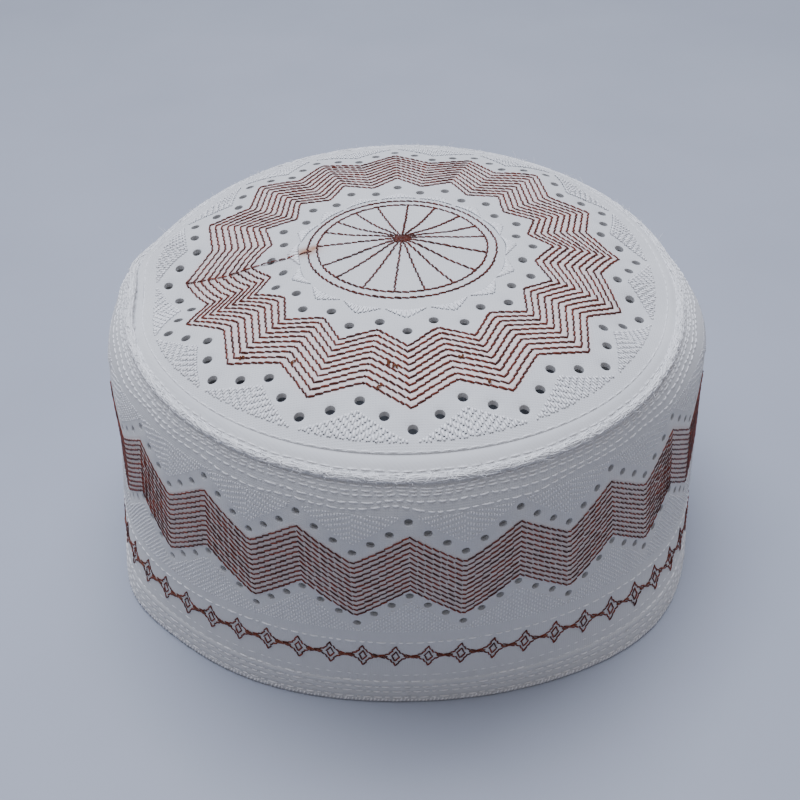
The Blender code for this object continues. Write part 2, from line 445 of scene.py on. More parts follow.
crown_holes = np.concatenate([
    pattern_plan(np.array([share]), np.array([turn_for(point + part)]))
    for point in range(STAR_POINTS)
    for part, share in CROWN_EYELETS
])
edge_turns = np.linspace(0, 2 * math.pi, PANEL_EDGE_CORNERS, endpoint=False)
from_front = turn_difference(edge_turns, -90.0)
edge_widening = 1 - np.exp(-(np.degrees(from_front) / PANEL_EDGE_TURN) ** 2)
edge_shares = PANEL_EDGE + (PANEL_EDGE_SIDES - PANEL_EDGE) * edge_widening
crown_outline = crown_plan(edge_shares, edge_turns)
flat, faces, in_hole = cloth_triangles(crown_outline, CROWN_MESH_STEP, crown_holes, CROWN_EYELET_RADIUS)
lip = eyelet_lip(nearest_hole(flat, crown_holes), CROWN_EYELET_RADIUS)
top = crown_surface(flat)
under = top - (0, 0, CROWN_CLOTH)
top[:, 2] -= EYELET_LIP_DIP * lip
skin = faces[~in_hole]
count = len(flat)
all_faces = skin.tolist() + (skin[:, ::-1] + count).tolist()
all_faces += [(there, here, count + here, count + there) for here, there in open_edges(skin)]

# The cloth is matt and slightly fuzzy: a fine plain weave, drawn at twice its real 0.35 mm pitch so that it
# shows, puckers that rise between the brown rows, a faint pinkish tint among the rows that is painted light
# reflected from the brown thread, and tan stains where the thread bled
CLOTH_WHITE = "#DBDCDE"
CLOTH_SHADE = "#D1D2D5"
THREAD_REFLECTION_TINT = "#DDD2D0"
STAIN_TAN = "#A9734C"
WEAVE_PITCH = 0.0007
CLOTH_IOR = 1.46


def cloth_material(name, weave_pitch, twill=False):
    material, tree, shader = start_material(
        name, 0.82, IOR=CLOTH_IOR, Sheen_Weight=0.25, Sheen_Roughness=0.5)
    place = add_node(tree, "ShaderNodeUVMap", {"uv_map": "flat_cloth"}).outputs["UV"]
    mottle = add_node(tree, "ShaderNodeTexNoise", inputs={"Vector": place, "Scale": 14.0, "Detail": 4.0})
    band = add_stored(tree, "band")
    colour = add_mix(tree, mottle.outputs["Fac"], CLOTH_WHITE, CLOTH_SHADE)
    # Painted light: a pinkish tint among the brown rows stands for light reflected from the brown thread onto
    # the cloth
    colour = add_mix(tree, band, colour, THREAD_REFLECTION_TINT)
    colour = add_mix(tree, add_stored(tree, "stain"), colour, STAIN_TAN)
    tree.links.new(colour, shader.inputs["Base Color"])
    waves = []
    for direction in (("DIAGONAL",) if twill else ("X", "Y")):
        wave = add_node(tree, "ShaderNodeTexWave", {"bands_direction": direction}, {
            "Vector": place, "Scale": 0.0314 / weave_pitch, "Distortion": 0.6, "Detail": 1.0})
        waves.append(wave.outputs["Fac"])
    weave = waves[0] if twill else add_maths(tree, "MULTIPLY", *waves)
    fuzz = add_node(tree, "ShaderNodeTexNoise", inputs={"Vector": place, "Scale": 220.0, "Detail": 3.0})
    fine = add_node(tree, "ShaderNodeBump", inputs={
        "Height": add_maths(tree, "MULTIPLY_ADD", fuzz.outputs["Fac"], 0.5, weave),
        "Distance": 0.00010, "Strength": 0.15 if twill else 0.6})
    phase = add_maths(tree, "MULTIPLY", add_stored(tree, "row"), math.pi)
    puff = add_maths(tree, "ABSOLUTE", add_maths(tree, "SINE", phase))
    pucker = add_node(tree, "ShaderNodeBump", inputs={
        "Height": add_maths(tree, "MULTIPLY", puff, band),
        "Distance": 0.0003, "Strength": 0.7, "Normal": fine.outputs["Normal"]})
    tree.links.new(pucker.outputs["Normal"], shader.inputs["Normal"])
    return material


panel_cloth = cloth_material("bleached_poplin", WEAVE_PITCH)
crown_panel = mesh_piece("crown_panel_cloth", np.concatenate([top, under]), all_faces,
                         panel_cloth, 50)
add_flat_places(crown_panel, np.concatenate([flat, flat]))


def among_rows(rows, lines):
    """1 among the brown lines and 0 from half a line beyond the first and the last one."""
    return np.clip(rows + 0.5, 0, 1) * np.clip(lines - 0.5 - rows, 0, 1)


def star_row(plan):
    """Which brown line of the star a place lies on: 0 on the inner line, 9 on the outer one."""
    share, azimuth = crown_polar(plan)
    part = (np.degrees(azimuth) + 90.0 - STAR_TURN) % (360.0 / STAR_POINTS) * STAR_POINTS / 360.0
    to_valley = 1 - np.abs(2 * part - 1)
    first = STAR_TIP[0] + (STAR_VALLEY[0] - STAR_TIP[0]) * to_valley
    pitch = STAR_TIP[1] + (STAR_VALLEY[1] - STAR_TIP[1]) * to_valley
    return (share / star_stretch(azimuth) - first) / pitch


rows = star_row(flat)
in_band = among_rows(rows, STAR_LINES)
add_measure(crown_panel, "row", np.concatenate([rows, rows]))
# band: among the brown rows, where the cloth gets its puckers and the painted tint of light reflected from
# the thread
add_measure(crown_panel, "band", np.concatenate([in_band, 0 * in_band]))
STAINS = (
    # share of the radius, azimuth, half length, half width, strength
    (0.345, 180.5, 0.0036, 0.0019, 0.95),
    (0.318, 178.0, 0.0022, 0.0017, 0.95),
    (0.020, 0.0, 0.0022, 0.0018, 0.6),
)
stain = np.zeros(count)
for share, turn, half_length, half_width, strength in STAINS:
    middle = crown_place(share, turn)
    offset = flat - middle
    stain = np.maximum(stain, strength * np.exp(-(offset[:, 0] / half_length) ** 2
                                                - (offset[:, 1] / half_width) ** 2))
add_measure(crown_panel, "stain", np.concatenate([stain, 0 * stain]))
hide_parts("crown_panel")


# Brown embroidery of the crown: trilobal polyester thread, twisted from two plies and run in short
# lockstitches. Ten parallel zigzag lines make a sixteen-pointed star round a wheel of eighteen spokes.
THREAD_DARK = "#3C0E06"
THREAD_LIGHT = "#83321A"
THREAD_IOR = 1.53
BROWN_RADIUS = 0.00031
STAR_STITCH = 0.0021
STITCH_LEAN = 0.00018
STITCH_SWAY = 0.00004
STAR_VALLEY_STITCH = 0.0009
WHEEL_MIDDLE = (0.0001, 0.0012)
WHEEL_RINGS = (0.0276, 0.0249)
SPOKE_TURNS = (85, 66, 46, 29, 13, -9, -32, -54, -75, -96, -118, -141, -160, 177, 155, 139.5, 123, 106)
SPOKE_START = 0.0008
# Short crossing stitches tie the spokes down at the hub: how far they reach past it, and back
KNOT_REACH = (0.0007, 0.0020)
KNOT_TAIL = 0.0004
KNOT_UNEVEN = 0.08
# A running stitch's ends share a needle hole, so the thread hardly sinks between one and the next
RUNNING_BROWN = {"sink": 0.1, "gap": -0.00004, "taper": 0.8}


def gather(threads):
    """Joins pairs of starts and ends into one pair."""
    return [np.concatenate(side) for side in zip(*threads)]


def split_line(corners, length):
    """Stitches along a bent line: their starts and ends, with small slips in place."""
    threads = []
    for here, there in zip(corners[:-1], corners[1:]):
        number = max(1, round(float(np.hypot(*(there - here))) / length))
        marks = np.linspace(0, 1, number + 1)
        marks[1:-1] += dice.normal(0, 0.10 / number, number - 1)
        places = here + marks[:, None] * (there - here)
        threads.append((places[:-1], places[1:]))
    return gather(threads)


def lean(starts, ends, amount):
    """Turns each stitch a little across its line, as a twisted thread lies."""
    along = ends - starts
    across = np.column_stack([-along[:, 1], along[:, 0]])
    across /= np.linalg.norm(across, axis=1, keepdims=True) + 1e-12
    sway = dice.normal(0, STITCH_SWAY, (len(starts), 1))
    return starts + (amount + sway) * across, ends + (sway - amount) * across


def sew(name, surface, starts, ends, radius, material, slot, rise=0.6, sink=0.9, gap=0.0, sides=5,
        marks=(0.0, 0.13, 0.5, 0.87, 1.0), taper=0.55, flatten=0.8, tones=(0.15, 1.0)):
    """Stitches as one piece: each rises from the cloth, lies on it and goes back in."""
    starts, ends = np.asarray(starts, float), np.asarray(ends, float)
    number = len(starts)
    radius = radius * (1 + dice.normal(0, 0.06, number))
    length = np.linalg.norm(ends - starts, axis=1, keepdims=True) + 1e-12
    shrink = np.clip(gap / length, 0, 0.3) * (ends - starts)
    starts, ends = starts + shrink, ends - shrink
    rings, shades = [], []
    # Near its ends a stitch gets tone 0, which its material shows as painted shade where it goes into the
    # needle hole
    dark_below = 0.5 if len(marks) < 7 else 0.75
    tone = dice.uniform(*tones, number)
    lift = dice.normal(0, 0.10, number)
    for mark in marks:
        flat_places = starts + mark * (ends - starts)
        middle = surface(flat_places)
        normal = surface_normals(surface, flat_places)
        ahead = surface(flat_places + 0.01 * (ends - starts)) - middle
        across = np.cross(normal, ahead)
        across /= np.linalg.norm(across, axis=1, keepdims=True)
        hump = (4 * mark * (1 - mark)) ** 0.35
        size = radius * (taper + (1 - taper) * hump)
        height = radius * ((rise + lift) * hump - sink * (1 - hump))
        middle = middle + height[:, None] * normal
        for side in range(sides):
            turn = 2 * math.pi * (side + 0.5) / sides
            rings.append(middle + (size * math.cos(turn))[:, None] * across
                         + (flatten * size * math.sin(turn))[:, None] * normal)
            shades.append(np.where(hump < dark_below, 0.0, tone))
    points = np.stack(rings, 1).reshape(-1, 3)
    shades = np.stack(shades, 1).ravel()
    stations = len(marks)
    pattern = []
    for station in range(stations - 1):
        for side in range(sides):
            here, after = station * sides + side, station * sides + (side + 1) % sides
            pattern.append((here, here + sides, after + sides, after))
    first_cap = tuple(range(sides))
    last_cap = tuple(reversed(range((stations - 1) * sides, stations * sides)))
    faces = []
    for stitch in range(number):
        base = stitch * stations * sides
        faces += [tuple(base + corner for corner in face) for face in pattern]
        faces.append(tuple(base + corner for corner in first_cap))
        faces.append(tuple(base + corner for corner in last_cap))
    piece = mesh_piece(name, points, faces, material, 60)
    add_measure(piece, "tone", shades)
    return piece


def thread_material(name, dark, light, roughness, painted_end_shade):
    """Thread: a tone for each stitch, darker where it goes into the cloth as painted shade, and fine twist.
    """
    material, tree, shader = start_material(
        name, roughness, IOR=THREAD_IOR, Specular_IOR_Level=0.3)
    ramp = add_node(tree, "ShaderNodeValToRGB", inputs={"Fac": add_stored(tree, "tone")})
    stops = ramp.color_ramp.elements
    stops[0].position = 0.0
    # Painted shade: the colour of a stitch's ends where it dips into its needle hole
    stops[0].color = hex_colour(painted_end_shade)
    stops[1].position = 1.0
    stops[1].color = hex_colour(light)
    stops.new(0.08).color = hex_colour(dark)
    tree.links.new(ramp.outputs["Color"], shader.inputs["Base Color"])
    place = add_node(tree, "ShaderNodeTexCoord").outputs["Object"]
    twist = add_node(tree, "ShaderNodeTexNoise", inputs={"Vector": place, "Scale": 2600.0, "Detail": 2.0})
    bump = add_node(tree, "ShaderNodeBump", inputs={
        "Height": twist.outputs["Fac"], "Distance": 0.0001, "Strength": 0.5})
    tree.links.new(bump.outputs["Normal"], shader.inputs["Normal"])
    return material


def zigzag_corners(tips, valleys, flat_length):
    """A line through alternate tips and valleys, each valley cut flat by one short stitch."""
    corners = []
    for index, tip in enumerate(tips):
        corners.append(tip)
        if index < len(valleys):
            valley = valleys[index]
            after = tips[(index + 1) % len(tips)]
            for end in (tip, after):
                leg = end - valley
                corners.append(valley + leg * (flat_length / 2 / np.hypot(*leg)))
    return np.array(corners)


brown_thread = thread_material("brown_polyester_thread", THREAD_DARK, THREAD_LIGHT, 0.5, "#1E0603")
threads = []
points = np.arange(STAR_POINTS)
for line in range(STAR_LINES):
    tips = pattern_plan(STAR_TIP[0] + STAR_TIP[1] * line, turn_for(points))
    valleys = pattern_plan(STAR_VALLEY[0] + STAR_VALLEY[1] * line, turn_for(points + 0.5))
    corners = zigzag_corners(tips, valleys, STAR_VALLEY_STITCH)
    threads.append(split_line(np.concatenate([corners, corners[:1]]), STAR_STITCH))
sew("star_embroidery", crown_surface, *lean(*gather(threads), STITCH_LEAN), BROWN_RADIUS, brown_thread,
    "brown_thread", tones=(0.1, 0.6), **RUNNING_BROWN)

threads = []
for radius in WHEEL_RINGS:
    turns = np.linspace(0, 2 * math.pi, round(2 * math.pi * radius / STAR_STITCH) + 1)
    circle = np.column_stack([np.cos(turns), np.sin(turns)]) * radius + WHEEL_MIDDLE
    threads.append((circle[:-1], circle[1:]))
for turn in np.radians(SPOKE_TURNS):
    direction = np.array([math.cos(turn), math.sin(turn)])
    reach = direction * (WHEEL_RINGS[1] + WHEEL_MIDDLE[1] * math.sin(turn))
    threads.append(split_line(np.array([SPOKE_START * direction, reach]), STAR_STITCH))
knot_turns = np.radians(SPOKE_TURNS) + dice.normal(0, KNOT_UNEVEN, len(SPOKE_TURNS))
knot = np.column_stack([np.cos(knot_turns), np.sin(knot_turns)])
threads.append((-KNOT_TAIL * knot, knot * dice.uniform(*KNOT_REACH, len(knot))[:, None]))
sew("wheel_embroidery", crown_surface, *lean(*gather(threads), STITCH_LEAN), BROWN_RADIUS, brown_thread,
    "brown_thread", tones=(0.08, 0.4), **RUNNING_BROWN)


# White embroidery of the crown: glossy viscose floss in satin stitch. Sixteen wedges of radial stitches
# stand outside the eyelets, and a ring of small triangles surrounds the wheel.
FLOSS_WHITE = "#FBFBFD"
FLOSS_SHADE = "#ECEDF1"
# Painted shade where the floss goes into its needle holes
PAINTED_HOLE_SHADE = "#5E6266"
FLOSS_RADIUS = 0.00029
WEDGE_BASE = 0.908
WEDGE_APEX = 0.803
WEDGE_COLUMN = 0.00082
WEDGE_STITCH = 0.0022
WEDGE_TAPER = 0.98
WEDGE_UNEVEN = 0.001
RAY_BASE = 0.370
RAY_TIP = 0.416
RAY_COLUMN = 0.0006
RAY_SHARE = 0.90
SATIN_TILT = 0.25
STAR_PITCH = 2 * math.pi / STAR_POINTS
EDGE_ROW_INSET = 0.003
EDGE_ROW_STITCH = 0.0027
EDGE_ROW_RADIUS = 0.00017

white_floss = thread_material("white_viscose_floss", FLOSS_SHADE, FLOSS_WHITE, 0.3, PAINTED_HOLE_SHADE)


def fill_columns(low, high, stitch, stagger):
    """Marks that cut a column from low to high into stitches, staggered like bricks."""
    first = low + (stagger - 1) * stitch
    marks = np.arange(first, high + stitch, stitch)
    marks = np.unique(np.clip(marks, low, high))
    return [(a, b) for a, b in zip(marks[:-1], marks[1:]) if b - a > 0.3 * stitch]


starts, ends = [], []
for point in range(STAR_POINTS):
    radius = float(rim_radius(turn_for(point + 0.5)))
    columns = round(radius * WEDGE_BASE * STAR_PITCH / WEDGE_COLUMN)
    for column in range(1, columns):
        part = column / columns
        near_valley = 1 - abs(2 * part - 1)
        low = WEDGE_BASE - (WEDGE_BASE - WEDGE_APEX) * near_valley * WEDGE_TAPER
        high = WEDGE_BASE + dice.normal(0, WEDGE_UNEVEN)
        turn = turn_for(point + part)
        tilt = SATIN_TILT * (-1) ** column * STAR_PITCH / columns
        for a, b in fill_columns(low, high, WEDGE_STITCH / radius, (column % 2) / 2):
            starts.append(pattern_plan(b, turn - tilt))
            ends.append(pattern_plan(a, turn + tilt))
columns = round(RIM_MEAN_RADIUS * RAY_BASE * STAR_PITCH / RAY_COLUMN)
for point in range(STAR_POINTS):
    for column in range(columns):
        part = (column + 0.5) / columns
        if abs(2 * part - 1) > RAY_SHARE:
            continue
        reach = RAY_BASE + (RAY_TIP - RAY_BASE) * (1.08 - abs(2 * part - 1) / RAY_SHARE)
        turn = turn_for(point + part - 0.5)
        tilt = SATIN_TILT * (-1) ** column * STAR_PITCH / columns
        starts.append(pattern_plan(RAY_BASE, turn - tilt))
        ends.append(pattern_plan(reach, turn + tilt))
sew("crown_satin_stitch", crown_surface, starts, ends, FLOSS_RADIUS, white_floss, "white_thread",
    rise=1.0, marks=(0.0, 0.09, 0.2, 0.5, 0.8, 0.91, 1.0), gap=0.00008, tones=(0.4, 1.0))
edge_line = crown_plan(edge_shares - EDGE_ROW_INSET, edge_turns)
edge_line = np.concatenate([edge_line[::2], edge_line[:1]])
sew("disc_edge_row", crown_surface, *split_line(edge_line, EDGE_ROW_STITCH), EDGE_ROW_RADIUS, white_floss,
    "white_thread", gap=0.00015)


# Crown margin: the bare white twill between the embroidered disc and the seam. It is the cloth that the
# disc is sewn to, rounded over the edge of the stiff crown.
MARGIN_INNER = 0.925
MARGIN_OUTER = 0.990
MARGIN_CLOTH = 0.0015
MARGIN_PUFF = 0.0005
MARGIN_RINGS = 9
MARGIN_STEPS = 480
TWILL_PITCH = 0.0006

margin_cloth = cloth_material("bleached_cotton_twill", TWILL_PITCH, twill=True)


def margin_surface(plan):
    share, azimuth = crown_polar(plan)
    puff = np.sin(math.pi * np.clip((share - PANEL_EDGE) / (MARGIN_OUTER - PANEL_EDGE), 0, 1))
    return np.column_stack([plan, crown_height(share, azimuth) + MARGIN_PUFF * puff])


def ring_faces(rings, steps):
    """Faces between closed rings of points, and from the last ring back to the first."""
    faces = []
    for ring in range(rings):
        here, beyond = ring * steps, (ring + 1) % rings * steps
        for step in range(steps):
            after = (step + 1) % steps
            faces.append((here + step, here + after, beyond + after, beyond + step))
    return faces


def closed_band(name, outer_rings, inner_rings, material, places):
    """A closed band round the cap from rings of points, outer face first."""
    rings = outer_rings + inner_rings[::-1]
    faces = ring_faces(len(rings), len(rings[0]))
    piece = mesh_piece(name, np.concatenate(rings), faces, material, 50)
    add_flat_places(piece, np.concatenate(places + places[::-1]))
    return piece


turns = np.linspace(0, 2 * math.pi, MARGIN_STEPS, endpoint=False)
plans = [crown_plan(share, turns) for share in np.linspace(MARGIN_OUTER, MARGIN_INNER, MARGIN_RINGS)]
upper = [margin_surface(plan) for plan in plans]
lower = [ring - (0, 0, MARGIN_CLOTH) for ring in upper]
margin = closed_band("crown_margin_cloth", upper, lower, margin_cloth, plans)
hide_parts("crown_margin")


# Side band: the same embroidered poplin over a backing, closed to an oval. Its eyelets are punched
# through the outer layer only. The pattern repeats twenty times round.
HEM_HEIGHT = 0.0108
WALL_TOP = SEAM_Z - 0.0006
WALL_BOTTOM = HEM_HEIGHT - 0.0004
WALL_EDGE_CORNERS = 340
WALL_END_CORNERS = 50
BAND_MARKS = 4001
WALL_CLOTH = 0.0018
WALL_LAYER = 0.0013
# Painted shade: the grey of the eyelets' bottoms
EYELET_SHADE_GREY = "#9B9D9F"
WALL_REPEATS = 20
ZIGZAG_DEGREES = 360.0 / WALL_REPEATS
CUT_TURN = math.radians(4.5)
WALL_EYELET_RADIUS = 0.00115
WALL_MESH_STEP = 0.0017
ZIGZAG_LINES = 12
# Heights of the lowest and the highest brown line at a tip and at a valley
ZIGZAG_TIP = (0.0512, 0.0712)
ZIGZAG_VALLEY = (0.0392, 0.0605)
FRONT_LIFT = 0.0024
FRONT_LIFT_TURN = math.radians(32)
SIDE_SPREAD = math.radians(3.1)
# Where the lower lines of the zigzag run further out than the upper ones
LOWER_LEANS = (
    # side, middle of the stretch, its half width, how far they lean: turns in radians from the front
    ("right", 0.63, 0.28, 0.038),
    ("left", -0.87, 0.31, -0.028),
)
SIDE_SQUEEZE = 0.0012
WALL_EYELETS = (
    # degrees from a tip, height of the upper eyelet, height of the lower eyelet, before the front's lift
    (-9.0, 0.0645, 0.0357),
    (-6.0, 0.0680, 0.0402),
    (-3.0, 0.0716, 0.0442),
    (0.0, 0.0757, 0.0482),
    (3.0, 0.0719, 0.0440),
    (6.0, 0.0682, 0.0402),
)

around = np.linspace(-math.pi, math.pi, BAND_MARKS) - math.pi / 2
middle_radius = wall_radius(around, SEAM_Z / 2)
middle_line = ring_points(middle_radius, around, 0.0)
travelled = np.concatenate([[0], np.cumsum(np.linalg.norm(np.diff(middle_line, axis=0), axis=1))])
BAND_LENGTH = travelled[-1]
travelled -= np.interp(-math.pi / 2, around, travelled)


def wall_azimuth(along):
    wrapped = (np.asarray(along) + BAND_LENGTH / 2) % BAND_LENGTH - BAND_LENGTH / 2
    return np.interp(wrapped, travelled, around)


def wall_surface(places):
    places = np.asarray(places, float)
    azimuth = wall_azimuth(places[:, 0])
    return ring_points(wall_radius(azimuth, places[:, 1]), azimuth, places[:, 1])


def lower_lean(wrapped, height):
    """How far the pattern leans outwards at a height, as a turn in radians."""
    low = np.clip((ZIGZAG_TIP[1] - height) / (ZIGZAG_TIP[1] - ZIGZAG_VALLEY[0]), 0, 1)
    return low * sum(lean_turn * np.exp(-((wrapped - middle) / half_width) ** 2)
                     for _, middle, half_width, lean_turn in LOWER_LEANS)


def front_lift(wrapped):
    """How much higher the pattern runs in front than at the sides and the back."""
    return FRONT_LIFT * np.exp(-(wrapped / FRONT_LIFT_TURN) ** 2)


def pattern_place(turn, height, lift=1.0):
    """Flat place of the band's pattern: turn in radians from the front, height before the lift."""
    turn = np.asarray(turn, float)
    wrapped = wrap_turn(turn)
    squeeze = SIDE_SQUEEZE * (height - ZIGZAG_VALLEY[0]) / (ZIGZAG_TIP[1] - ZIGZAG_VALLEY[0])
    raised = height + lift * (front_lift(wrapped) - squeeze * np.sin(wrapped) ** 2)
    spread = turn + SIDE_SPREAD * np.sin(wrapped) ** 3 + lift * lower_lean(wrapped, height)
    return np.stack(np.broadcast_arrays(spread * BAND_LENGTH / (2 * math.pi), raised), -1)


wall_holes = np.array([
    pattern_place(math.radians(repeat * ZIGZAG_DEGREES - 180.0 + offset), height)
    for repeat in range(WALL_REPEATS)
    for offset, *heights in WALL_EYELETS
    for height in heights
])
cut = CUT_TURN * BAND_LENGTH / (2 * math.pi) - BAND_LENGTH / 2
wall_holes[:, 0] = (wall_holes[:, 0] - cut) % BAND_LENGTH + cut
end_heights = np.linspace(WALL_BOTTOM, WALL_TOP, WALL_END_CORNERS)
edge_along = np.linspace(cut, cut + BAND_LENGTH, WALL_EDGE_CORNERS)
wall_outline = np.array(
    [(along, WALL_BOTTOM) for along in edge_along[:-1]]
    + [(cut + BAND_LENGTH, height) for height in end_heights[:-1]]
    + [(along, WALL_TOP) for along in edge_along[:0:-1]]
    + [(cut, height) for height in end_heights[:0:-1]]
)
flat, faces, in_hole = cloth_triangles(wall_outline, WALL_MESH_STEP, wall_holes, WALL_EYELET_RADIUS)
# The strip's two ends are the same points
at_start = np.flatnonzero(np.isclose(flat[:, 0], cut, atol=1e-7))
joined = np.arange(len(flat))
for number in np.flatnonzero(np.isclose(flat[:, 0], cut + BAND_LENGTH, atol=1e-7)):
    joined[number] = at_start[np.argmin(np.abs(flat[at_start, 1] - flat[number, 1]))]


def zigzag_row(places):
    """Which brown line of the side band a place lies on: 0 on the lowest, 11 on the highest."""
    turn = places[:, 0] * 2 * math.pi / BAND_LENGTH
    wrapped = wrap_turn(turn)
    height = places[:, 1] - front_lift(wrapped)
    turn = turn - SIDE_SPREAD * np.sin(wrapped) ** 3 - lower_lean(wrapped, height)
    part = np.degrees(turn) % ZIGZAG_DEGREES / ZIGZAG_DEGREES
    to_valley = 1 - np.abs(2 * part - 1)
    lowest = ZIGZAG_TIP[0] + (ZIGZAG_VALLEY[0] - ZIGZAG_TIP[0]) * to_valley
    highest = ZIGZAG_TIP[1] + (ZIGZAG_VALLEY[1] - ZIGZAG_TIP[1]) * to_valley
    return (height - lowest) / (highest - lowest) * (ZIGZAG_LINES - 1)


hole_distance = nearest_hole(flat, wall_holes)
lip = eyelet_lip(hole_distance, WALL_EYELET_RADIUS)
outer = wall_surface(flat)
normals = surface_normals(wall_surface, flat)
count = len(flat)
backing = outer - WALL_LAYER * normals
inner = outer - WALL_CLOTH * normals
outer = outer - (0.5 * EYELET_LIP_DIP * lip)[:, None] * normals
skin = joined[faces[~in_hole]]
plugs = joined[faces[in_hole]]
all_faces = skin.tolist()
all_faces += (plugs + count).tolist()
all_faces += (joined[faces][:, ::-1] + 2 * count).tolist()
for here, there in open_edges(skin):
    depth = count if hole_distance[here] < 2 * WALL_EYELET_RADIUS else 2 * count
    all_faces.append((there, here, depth + here, depth + there))
wall = mesh_piece("side_band_cloth", np.concatenate([outer, backing, inner]), all_faces,
                  panel_cloth, 50)
# The bottom of each eyelet is painted grey, darker than the cloth, as painted shade in the eyelet's depth:
# matt, IOR about 1.5
eyelet_shade_material, _, _ = start_material("painted_eyelet_shade", 0.9, IOR=1.5,
                                   Base_Color=hex_colour(EYELET_SHADE_GREY))
wall.data.materials.append(eyelet_shade_material)
for polygon in wall.data.polygons[len(skin):len(skin) + len(plugs)]:
    polygon.material_index = 1
rows = zigzag_row(flat)
in_band = among_rows(rows, ZIGZAG_LINES)
add_flat_places(wall, np.concatenate([flat, flat, flat]))
add_measure(wall, "row", np.tile(rows, 3))
# band: among the brown rows, where the cloth gets its puckers and the painted tint of light reflected from
# the thread
add_measure(wall, "band", np.concatenate([in_band, 0 * in_band, 0 * in_band]))
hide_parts("side_band")


# Brown embroidery of the side band: twelve parallel zigzag lines, and below them a chain of small
# four-pointed stars whose strands cross between one star and the next.
WALL_STITCH = 0.0024
WALL_VALLEY_STITCH = 0.0016
WALL_BROWN_RADIUS = 0.00024
SLACK_SHARE = 0.08
SLACK_SHORTENING = 0.12
STARS_ROUND = 62
STAR_CENTRE_TURN = math.radians(-2.64)
CHAIN_HEIGHT = 0.0233
CHAIN_SIDE_DROP = 0.0085
CHAIN_STITCH = 0.0017
CHAIN_ARM = (
    # a quarter of a star's outer line: millimetres sideways and upwards from its middle
    (0.0, 4.7),
    (0.8, 2.9),
    (1.6, 1.5),
    (2.8, 0.8),
    (4.6, 0.15),
)
CHAIN_DIAMOND = (1.05, 2.3)
LINK_THREADS = (-0.00022, 0.00022)
LINK_REACH = 0.0023

threads = []
repeats = np.arange(WALL_REPEATS + 1) * 2 * math.pi / WALL_REPEATS - math.pi
for line in range(ZIGZAG_LINES):
    part = line / (ZIGZAG_LINES - 1)
    tip_height = ZIGZAG_TIP[0] + part * (ZIGZAG_TIP[1] - ZIGZAG_TIP[0])
    valley_height = ZIGZAG_VALLEY[0] + part * (ZIGZAG_VALLEY[1] - ZIGZAG_VALLEY[0])
    tips = pattern_place(repeats, tip_height)
    valleys = pattern_place(repeats[:-1] + math.pi / WALL_REPEATS, valley_height)
    threads.append(split_line(zigzag_corners(tips, valleys, WALL_VALLEY_STITCH), WALL_STITCH))
starts, ends = lean(*gather(threads), STITCH_LEAN)
slack = dice.random(len(starts)) < SLACK_SHARE
ends[slack] -= SLACK_SHORTENING * (ends[slack] - starts[slack])
sew("zigzag_embroidery", wall_surface, starts, ends, WALL_BROWN_RADIUS, brown_thread, "brown_thread",
    **RUNNING_BROWN)


def chain_height(turn):
    return CHAIN_HEIGHT - CHAIN_SIDE_DROP * np.abs(np.sin(turn)) ** 3


def star_middle(turn):
    return pattern_place(turn, chain_height(turn), lift=0.0)


threads, link_threads = [], []
arm = np.array(CHAIN_ARM) / 1000
wide, tall = np.array(CHAIN_DIAMOND) / 1000
diamond = np.array([(0, tall), (wide, 0), (0, -tall), (-wide, 0), (0, tall)])
for star in range(STARS_ROUND):
    turn = STAR_CENTRE_TURN + (star - STARS_ROUND // 2) * 2 * math.pi / STARS_ROUND
    middle, next_middle = star_middle(turn), star_middle(turn + 2 * math.pi / STARS_ROUND)
    for offset in LINK_THREADS:
        link = np.array([middle + (LINK_REACH, offset), next_middle - (LINK_REACH, offset)])
        link_threads.append(split_line(link, CHAIN_STITCH))
    for sideways, upward in ((1, 1), (1, -1), (-1, 1), (-1, -1)):
        threads.append(split_line(middle + arm * (sideways, upward), CHAIN_STITCH))
    threads.append(split_line(middle + diamond, CHAIN_STITCH))
sew("star_chain_embroidery", wall_surface, *lean(*gather(threads), STITCH_LEAN), WALL_BROWN_RADIUS,
    brown_thread, "brown_thread", **RUNNING_BROWN)
# Between the stars the strands lie twisted over one another, and the light catches them as a paler brown
twisted_brown = thread_material("twisted_brown_thread", "#5E2F20", "#8A4E38", 0.4, "#3A1A12")
sew("star_chain_links", wall_surface, *lean(*gather(link_threads), 2 * STITCH_LEAN), WALL_BROWN_RADIUS,
    twisted_brown, "brown_thread", rise=1.2, **RUNNING_BROWN)


# White embroidery of the side band: triangles of upright satin stitches above and below the zigzag, and
# a dashed running line over the star chain.
FILL_COLUMN = 0.00074
FILL_STITCH = 0.00165
FILL_RADIUS = 0.00023
FILL_UNEVEN = 0.00008
# Each triangle's edge is a height at a zigzag's tip and how much lower it is at a valley
UPPER_FILL_TOP = 0.0802
UPPER_FILL_EDGE = (0.0785, 0.0112)
LOWER_FILL_EDGE = (0.0464, 0.0135)
LOWER_FILL_BOTTOM = 0.0322
ROW_RADIUS = 0.00020
ROW_UNEVEN = 0.16
DASH_HEIGHT = 0.0064
DASH_STITCH = 0.0027
ROW_WOBBLE = 0.00008

